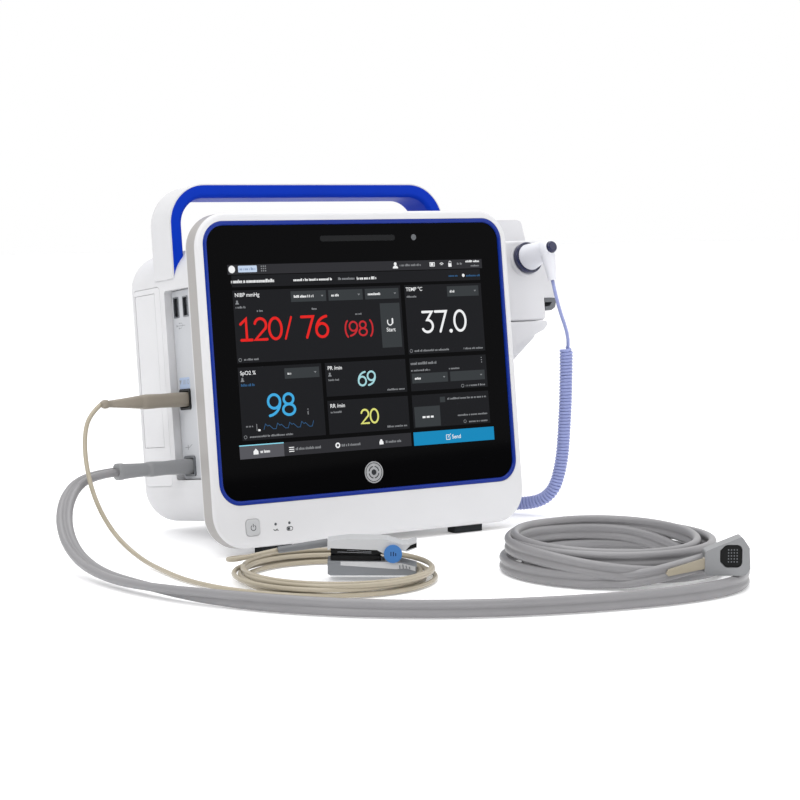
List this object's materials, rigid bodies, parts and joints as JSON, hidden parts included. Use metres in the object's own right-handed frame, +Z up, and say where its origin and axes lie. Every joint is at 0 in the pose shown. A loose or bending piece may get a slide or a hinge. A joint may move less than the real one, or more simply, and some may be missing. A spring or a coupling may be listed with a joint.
{
  "type": "patient monitor",
  "caption": "Bedside vital-signs monitor with carry handle, side connector bay, thermometer probe in its holder, finger sensor on a coiled cable and coiled cuff hose.",
  "frame": {"origin": "on the surface that the monitor stands on, below the centre of the monitor with its thermometer module, leads not counted", "axes": "+X to the right along the screen's width, +Y from the screen towards the back, +Z up"},
  "size_m": [0.445, 0.4623, 0.257],
  "materials": {
    "bezel": "fine satin moulded plastic, pale grey-white",
    "case": "fine textured moulded plastic, light grey",
    "cover": "satin moulded plastic, light grey",
    "ring_blue": "glossy deep blue",
    "handle_blue": "satin saturated blue",
    "handle_white": "satin light grey",
    "black_glass": "glossy black cover glass",
    "light_diffuser": "milky diffuser",
    "panel_pale": "satin pale grey with a blue tint",
    "port_metal": "stamped steel shell",
    "dark_plastic": "matt black plastic",
    "grey_plastic": "matt mid grey plastic",
    "soft_rubber": "matt dark rubber",
    "board": "coated circuit board",
    "metal": "bare sheet metal",
    "screw_steel": "zinc plated steel",
    "battery": "wrapped battery pack",
    "air_hose": "soft grey rubber",
    "navy": "glossy navy",
    "probe_white": "satin white-grey",
    "lead_blue": "satin periwinkle jacket",
    "cable_beige": "satin beige jacket",
    "plug_taupe": "satin taupe overmould",
    "plug_grey": "satin grey overmould",
    "clip_light": "satin light grey",
    "clip_dark": "satin mid grey",
    "pivot_blue": "satin mid blue"
  },
  "bodies": {
    "root": {"front_bezel": "bezel", "trim_ring": "ring_blue", "screen_glass": "black_glass", "picture_panel": "dark_plastic", "screen_chassis": "metal", "alarm_light_bar": "light_diffuser", "light_pipes": "light_diffuser", "button_board": "board", "rear_case": "case", "assembly_screws": "screw_steel", "connector_panel": "panel_pale", "usb_ports": "port_metal", "oximeter_socket": "dark_plastic", "air_socket": "grey_plastic", "side_cover": "cover", "battery_bay": "case", "battery_pack": "battery", "handle_shell": "handle_white", "handle_grip": "handle_blue", "rubber_feet": "soft_rubber", "base_plate": "grey_plastic", "main_board": "board", "heat_spreader": "metal", "power_supply": "metal", "mains_inlet": "dark_plastic", "network_jack": "dark_plastic", "speaker": "dark_plastic", "cuff_pump": "metal", "valve_manifold": "grey_plastic", "air_tubes": "air_hose", "thermometer_bracket": "bezel", "probe_holder": "bezel", "cover_tray": "bezel", "cord_hook": "grey_plastic", "well_collar": "navy", "probe_well": "dark_plastic", "thermometer_socket": "grey_plastic", "thermometer_plug": "lead_blue", "thermometer_curl": "lead_blue", "thermometer_lead": "lead_blue", "cuff_hose_plug": "plug_grey", "cuff_hose": "air_hose", "cuff_hose_coil": "air_hose", "cuff_connector": "grey_plastic", "oximeter_plug": "plug_taupe", "oximeter_cable": "cable_beige", "oximeter_coil": "cable_beige", "clip_lower_jaw": "clip_dark", "clip_pivot": "pivot_blue", "lower_pad": "soft_rubber"},
    "power_button": {"power_button": "bezel"},
    "battery_door": {"battery_door": "cover", "door_hinge_pins": "screw_steel"},
    "probe": {"probe_body": "probe_white", "probe_tip": "metal"},
    "eject_button": {"eject_button": "navy"},
    "clip_jaw": {"clip_upper_jaw": "clip_light", "upper_pad": "soft_rubber", "clip_boot": "clip_dark"},
    "connector_button": {"connector_button": "dark_plastic"}
  },
  "joints": [
    {"name": "power_button_press", "type": "slide", "parent": "root", "child": "power_button", "axis": [0, 0.992, -0.1262], "range_m": [0, 0.0012], "stiffness_N_per_m": 600, "springref_m": -0.0005},
    {"name": "battery_door_swing", "type": "hinge", "parent": "root", "child": "battery_door", "pos_m": [-0.153, 0.05845, 0.11819], "axis": [0, -0.1262, -0.992], "range_deg": [0, 100]},
    {"name": "probe_withdraw", "type": "slide", "parent": "root", "child": "probe", "axis": [0, -0.955, 0.2965], "range_m": [0, 0.084]},
    {"name": "eject_button_press", "type": "slide", "parent": "probe", "child": "eject_button", "axis": [0, 0.955, -0.2965], "range_m": [0, 0.0018], "stiffness_N_per_m": 500, "springref_m": -0.0006},
    {"name": "finger_clip_open", "type": "hinge", "parent": "root", "child": "clip_jaw", "pos_m": [-0.10425, -0.20585, 0.0181], "axis": [0.5489, 0.8359, 0], "range_deg": [0, 26], "stiffness_Nm_per_rad": 0.08, "springref_deg": -28.65},
    {"name": "connector_button_press", "type": "slide", "parent": "root", "child": "connector_button", "axis": [0.5489, 0.8359, 0], "range_m": [0, 0.0014], "stiffness_N_per_m": 700, "springref_m": -0.0005}
  ]
}
